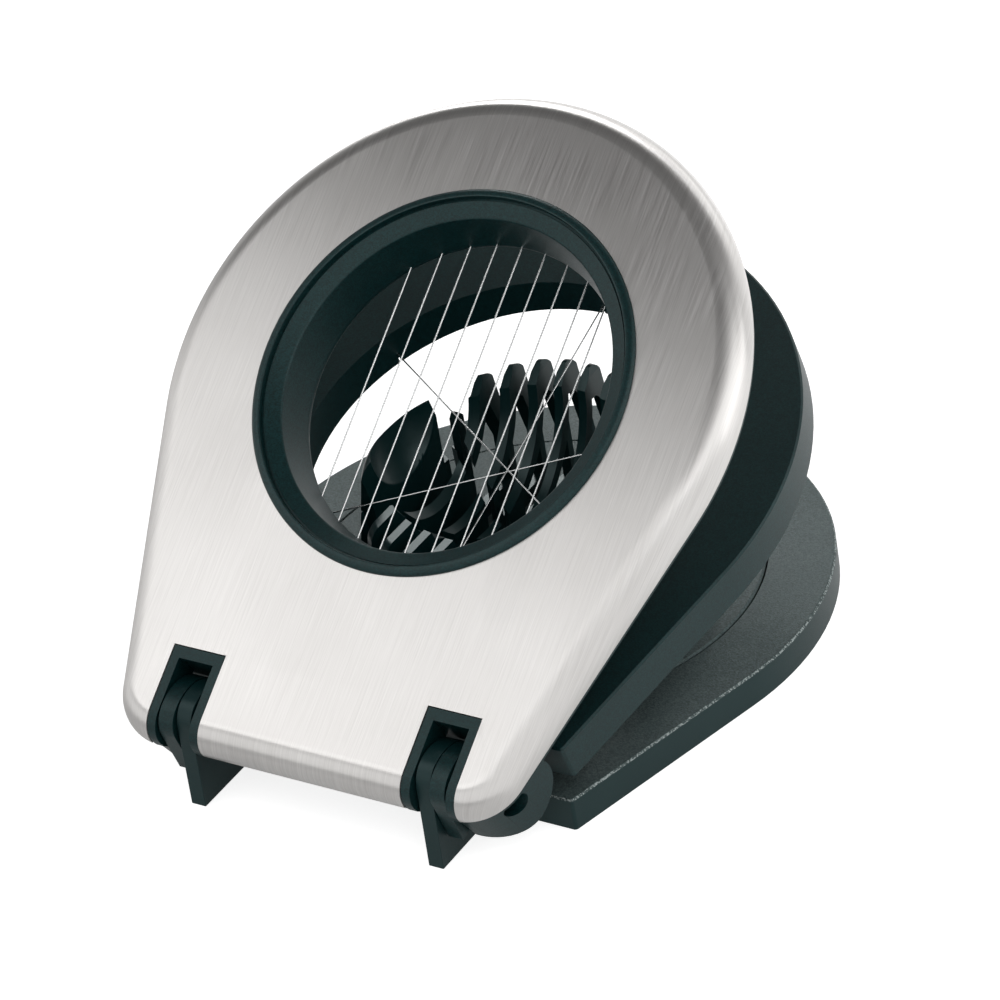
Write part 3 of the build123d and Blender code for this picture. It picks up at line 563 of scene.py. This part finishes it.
def punch_hole(bm):
    """The round hole in the face, inside a narrow flat border that keeps the roll's shading off it."""
    bmesh.ops.inset_region(bm, faces=[largest(bm)], thickness=FACE_BORDER)
    face = largest(bm)
    border = list(face.edges)
    bmesh.ops.delete(bm, geom=[face], context="FACES_ONLY")
    ring = bmesh.ops.create_circle(bm, cap_ends=False, segments=RING_STEPS, radius=COVER_HOLE)["verts"]
    bmesh.ops.translate(bm, verts=ring, vec=(0, HOLE_CENTRE_Y, COVER_FACE))
    hole = list({edge for vert in ring for edge in vert.link_edges})
    bmesh.ops.triangle_fill(bm, use_beauty=True, use_dissolve=False, edges=border + hole)


def cut_notches(bm):
    """The two notches over the hinges."""
    for x in (-NOTCH_OUTER_X, -NOTCH_INNER_X, NOTCH_INNER_X, NOTCH_OUTER_X):
        cut_at(bm, (x, 0, 0), (1, 0, 0))
    cut_at(bm, (0, NOTCH_BACK_Y, 0), (0, 1, 0))
    notches = []
    for face in bm.faces:
        middle = face.calc_center_median()
        if NOTCH_INNER_X < abs(middle.x) < NOTCH_OUTER_X and middle.y < NOTCH_BACK_Y:
            notches.append(face)
    bmesh.ops.delete(bm, geom=notches, context="FACES")


def make_steel_cover():
    """Pressed cover: rolled edge, round hole, two hinge notches, and the sheet's thickness."""
    bm = bmesh.new()
    press_cover(bm)
    punch_hole(bm)
    cut_notches(bm)
    bmesh.ops.recalc_face_normals(bm, faces=bm.faces)
    if largest(bm).normal.z < 0:
        bmesh.ops.reverse_faces(bm, faces=bm.faces)
    sheet = bm.loops.layers.uv.new("sheet")
    bm.normal_update()
    for face in bm.faces:
        for loop in face.loops:
            point, outward = loop.vert.co, loop.vert.normal
            fall = COVER_FACE - point.z
            loop[sheet].uv = (point.x + outward.x * fall, point.y + outward.y * fall)
    bm.transform(TOP_LEAF)
    piece = add_piece("steel_cover_sheet", bm, COVER_STEEL, "top_leaf", "steel_cover")
    wall = piece.modifiers.new("sheet_wall", "SOLIDIFY")
    wall.thickness = SHEET
    wall.offset = -1.0
    wall.use_even_offset = True
    edge = piece.modifiers.new("broken_edge", "BEVEL")
    edge.width = SHEET_EDGE
    edge.segments = 2
    edge.limit_method = "ANGLE"
    edge.angle_limit = SHEET_EDGE_ANGLE
    even_light(piece)


def make_bezel_ring():
    """Black ring over the edge of the hole: bead, fine groove, sloping band and tapered mouth."""
    face = COVER_FACE + LIP_GAP
    crown = LIP_RADIUS - LIP_FLANK
    lip_inner = LIP_RADIUS - LIP_WIDTH
    groove = face - GROOVE_DEPTH
    groove_inner = lip_inner - GROOVE_WIDTH
    band = COVER_FACE - BAND_DROP
    flank = []
    for step in range(FLANK_STEPS + 1):
        angle = math.pi / 2 * step / FLANK_STEPS
        flank.append((crown + LIP_FLANK * math.cos(angle), face + LIP_HEIGHT * math.sin(angle)))
    profile = flank + [
        (lip_inner + LIP_EDGE, face + LIP_HEIGHT),
        (lip_inner + LIP_EDGE / 3, face + LIP_HEIGHT - LIP_EDGE / 3),
        (lip_inner, face + LIP_HEIGHT - LIP_EDGE),
        (lip_inner, groove),
        (groove_inner, groove),
        (groove_inner, face - BAND_STEP - LIP_EDGE / 2),
        (groove_inner - LIP_EDGE / 2, face - BAND_STEP),
        (BAND_INNER + BAND_ROUND, band + BAND_ROUND / 2),
        (BAND_INNER + BAND_ROUND / 3, band + BAND_ROUND / 8),
        (BAND_INNER - BAND_ROUND / 12, band - BAND_ROUND / 3),
        (BAND_INNER - BAND_ROUND / 5, band - BAND_ROUND),
        (MOUTH_RADIUS, BEZEL_BOTTOM),
        (BEZEL_BORE, BEZEL_BOTTOM),
        (BEZEL_BORE, BEZEL_SHELF),
        (BEZEL_NECK, BEZEL_SHELF),
        (BEZEL_NECK, face),
    ]
    bm = bmesh.new()
    chain = [bmesh.ops.create_vert(bm, co=(radius, 0, level))["vert"][0] for radius, level in profile]
    for start, end in zip(chain, chain[1:] + chain[:1]):
        bmesh.ops.contextual_create(bm, geom=[start, end])
    bmesh.ops.spin(bm, geom=bm.verts[:] + bm.edges[:], cent=(0, 0, 0), axis=(0, 0, 1), angle=math.tau,
                   steps=RING_STEPS, use_merge=True, use_duplicate=False)
    bmesh.ops.remove_doubles(bm, verts=bm.verts, dist=SAME_PLACE)
    bmesh.ops.translate(bm, verts=bm.verts, vec=(0, HOLE_CENTRE_Y, 0))
    bm.transform(TOP_LEAF)
    add_moulding("bezel_ring_black", bm, BEZEL_PLASTIC, "top_leaf", "bezel_ring")


def give(node, material):
    """A node keeps its shape and takes a better finish."""
    slots = NODES[node].data.materials
    slots.clear()
    slots.append(material)


make_steel_cover()
make_bezel_ring()
softened("base_plate_moulding", "base_plate", BASE_PLASTIC, "base", width=0.34 * MM)
softened("egg_cradle_moulding", "egg_cradle", CRADLE_PLASTIC, "base", width=0.24 * MM)
softened("middle_frame_moulding", "middle_frame", FRAME_PLASTIC, "middle_leaf", width=0.3 * MM)
softened("wedge_clamp_ring_moulding", "wedge_clamp_ring", FRAME_PLASTIC, "middle_leaf", width=0.08 * MM)
softened("top_carrier_moulding", "top_carrier", CARRIER_PLASTIC, "top_leaf", width=0.18 * MM)

for node in NODES:
    if "wire" in node:
        give(node, WIRE_STEEL)
    elif "pin" in node:
        give(node, PIN_STEEL)
    elif "screws" in node:
        give(node, SCREW_STEEL)


# Floor, light and camera

def make_floor():
    """Plain pale light table, seen only from above: even for the camera, brighter behind for the object."""
    material, tree, shader = finish("floor_paper")
    shader.inputs["Base Color"].default_value = (0.65, 0.65, 0.65, 1)
    shader.inputs["Roughness"].default_value = 0.9
    shader.inputs["Specular IOR Level"].default_value = 0.0
    shader.inputs["Emission Color"].default_value = (1.0, 1.0, 1.0, 1)
    brighter = towards(tree, object_place(tree), TABLE_BRIGHT_SIDE)
    glow = spread(tree, brighter, -0.15, 0.2, 0.0, TABLE_SIDE_GLOW)
    seen = tree.nodes.new("ShaderNodeLightPath").outputs["Is Camera Ray"]
    link(tree, spread(tree, seen, 0.0, 1.0, glow, TABLE_GLOW), shader.inputs["Emission Strength"])
    from_below = tree.nodes.new("ShaderNodeNewGeometry").outputs["Backfacing"]
    link(tree, spread(tree, from_below, 0.0, 1.0, 1.0, 0.0), shader.inputs["Alpha"])

    bm = bmesh.new()
    bmesh.ops.create_grid(bm, x_segments=1, y_segments=1, size=TABLE_SIZE)
    bmesh.ops.translate(bm, verts=bm.verts, vec=(0, 0, -TABLE_DROP))
    mesh = bpy.data.meshes.new("floor")
    bm.to_mesh(mesh)
    bm.free()
    mesh.materials.append(material)
    floor = bpy.data.objects.new("floor", mesh)
    bpy.context.scene.collection.objects.link(floor)


def make_softbox(name, place, aim, width, height, power, turn=0.0):
    """Rectangular studio light that faces a point, turned about its own axis."""
    lamp = bpy.data.lights.new(name, "AREA")
    lamp.shape = "RECTANGLE"
    lamp.size = width
    lamp.size_y = height
    lamp.energy = power
    light = bpy.data.objects.new(name, lamp)
    light.location = place
    facing = (Vector(aim) - Vector(place)).to_track_quat("-Z", "Y").to_matrix()
    light.rotation_euler = (facing @ Matrix.Rotation(math.radians(turn), 3, "Z")).to_euler()
    bpy.context.scene.collection.objects.link(light)


def make_camera():
    """Camera from the calibration of the photograph, with its roll."""
    level = Vector((math.cos(CAMERA_AZIMUTH), math.sin(CAMERA_AZIMUTH), 0))
    ahead = Vector((-math.sin(CAMERA_AZIMUTH), math.cos(CAMERA_AZIMUTH), 0))
    forward = ahead * math.cos(CAMERA_ELEVATION) - Vector((0, 0, math.sin(CAMERA_ELEVATION)))
    upward = level.cross(forward)
    right = level * math.cos(CAMERA_ROLL) + upward * math.sin(CAMERA_ROLL)
    above = -level * math.sin(CAMERA_ROLL) + upward * math.cos(CAMERA_ROLL)
    lens = bpy.data.cameras.new("camera")
    lens.sensor_width = SENSOR
    lens.sensor_fit = "HORIZONTAL"
    lens.lens = FOCAL_IN_FRAMES * SENSOR
    lens.clip_end = FAR_CLIP
    camera = bpy.data.objects.new("camera", lens)
    turn = Matrix((right, above, -forward)).transposed().to_4x4()
    camera.matrix_world = Matrix.Translation(CAMERA_TARGET - forward * CAMERA_DISTANCE) @ turn
    bpy.context.scene.collection.objects.link(camera)
    bpy.context.scene.camera = camera


def make_world():
    """Room light: bright walls all round, and a dim ceiling."""
    world = bpy.data.worlds.new("studio")
    world.use_nodes = True
    tree = world.node_tree
    place = tree.nodes.new("ShaderNodeTexCoord").outputs["Generated"]
    light = spread(tree, towards(tree, place, ROOM_DIM_SIDE), 0.45, 0.78, ROOM_BRIGHT, ROOM_DIM)
    link(tree, light, tree.nodes["Background"].inputs["Strength"])
    tree.nodes["Background"].inputs["Color"].default_value = (1.0, 1.0, 1.0, 1)
    bpy.context.scene.world = world


make_floor()
make_world()
make_softbox("face_light", place=(-0.277, -0.292, 0.512), aim=(0, -0.03, 0.05),
             width=0.64, height=0.26, power=0.8, turn=25.0)
make_softbox("edge_light", place=(0.55, -0.1, 0.8), aim=(0.05, 0, 0.06), width=0.8, height=0.13, power=0.9)
make_softbox("top_light", place=(-0.15, 0.95, 0.65), aim=(0, 0, 0.05), width=0.9, height=0.6, power=1.5)
make_softbox("back_light", place=(-0.43, 0.63, 0.5), aim=(0, 0.02, 0), width=0.26, height=0.26, power=1.5)
make_softbox("low_light", place=(0.235, 0.07, 0.156), aim=(-0.027, 0.004, 0.027),
             width=0.16, height=0.05, power=0.06)
bpy.context.scene.view_settings.view_transform = "Standard"
make_camera()
